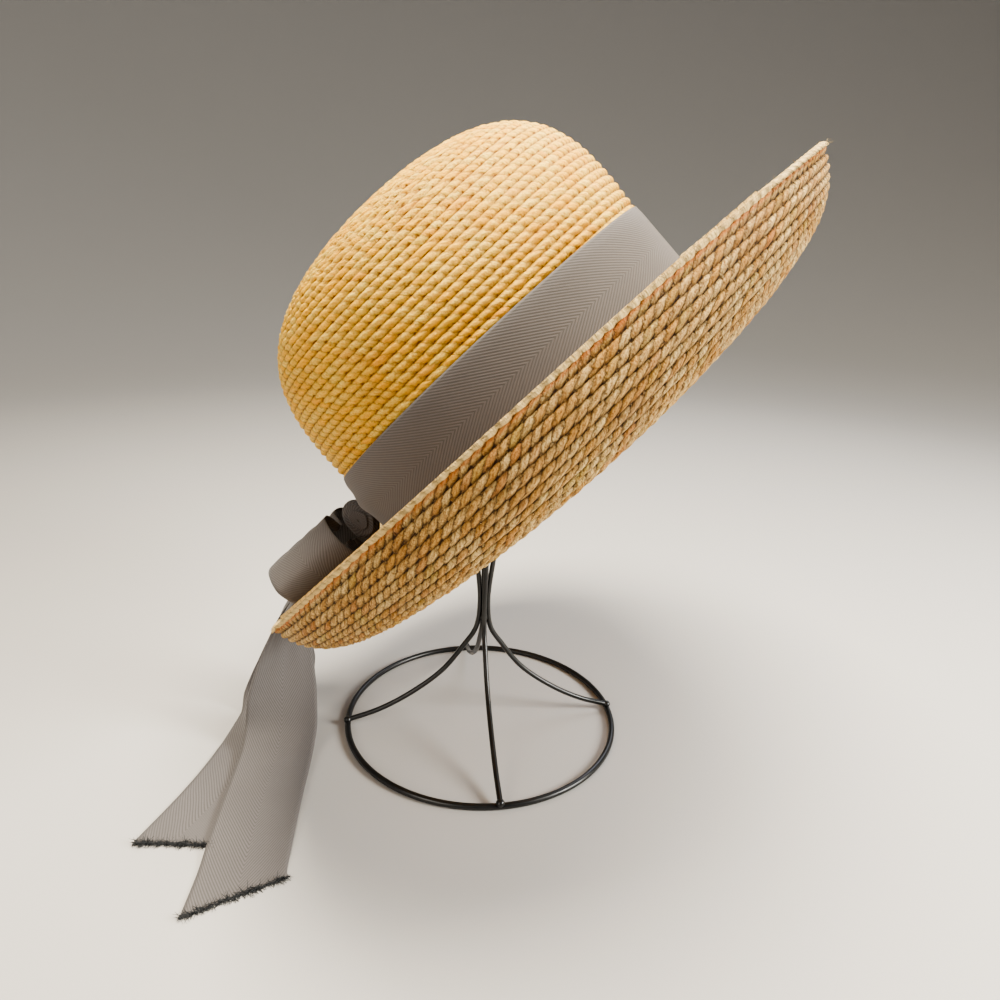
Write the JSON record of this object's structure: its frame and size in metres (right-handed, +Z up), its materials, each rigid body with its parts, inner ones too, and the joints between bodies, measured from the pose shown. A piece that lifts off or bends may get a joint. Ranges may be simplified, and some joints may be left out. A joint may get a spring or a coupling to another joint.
{
  "type": "raffia sun hat on a wire hat stand",
  "caption": "Sewn-braid raffia sun hat with rounded crown, rolled wide brim and ribbon bow with long tails, leaning on a black wire hat stand.",
  "frame": {"origin": "on the floor, below the middle of the box around the hat and its stand", "axes": "+Z up; +X the way the raised front of the brim points; -Y towards the side where the ribbon tails lie forward on the floor"},
  "size_m": [0.308, 0.318, 0.329],
  "materials": {
    "raffia": "golden raffia braid sewn in rows, slightly glossy strands",
    "ribbon": "warm grey herringbone twill ribbon, matt, with frayed cut ends",
    "black_wire": "satin black coated steel wire"
  },
  "bodies": {
    "root": {"crown": "raffia", "brim": "raffia", "ribbon_band": "ribbon", "bow_knot": "ribbon", "bow_loop_near": "ribbon", "bow_loop_far": "ribbon", "tail_front": "ribbon", "tail_rear": "ribbon", "wire_stand": "black_wire"}
  },
  "joints": []
}
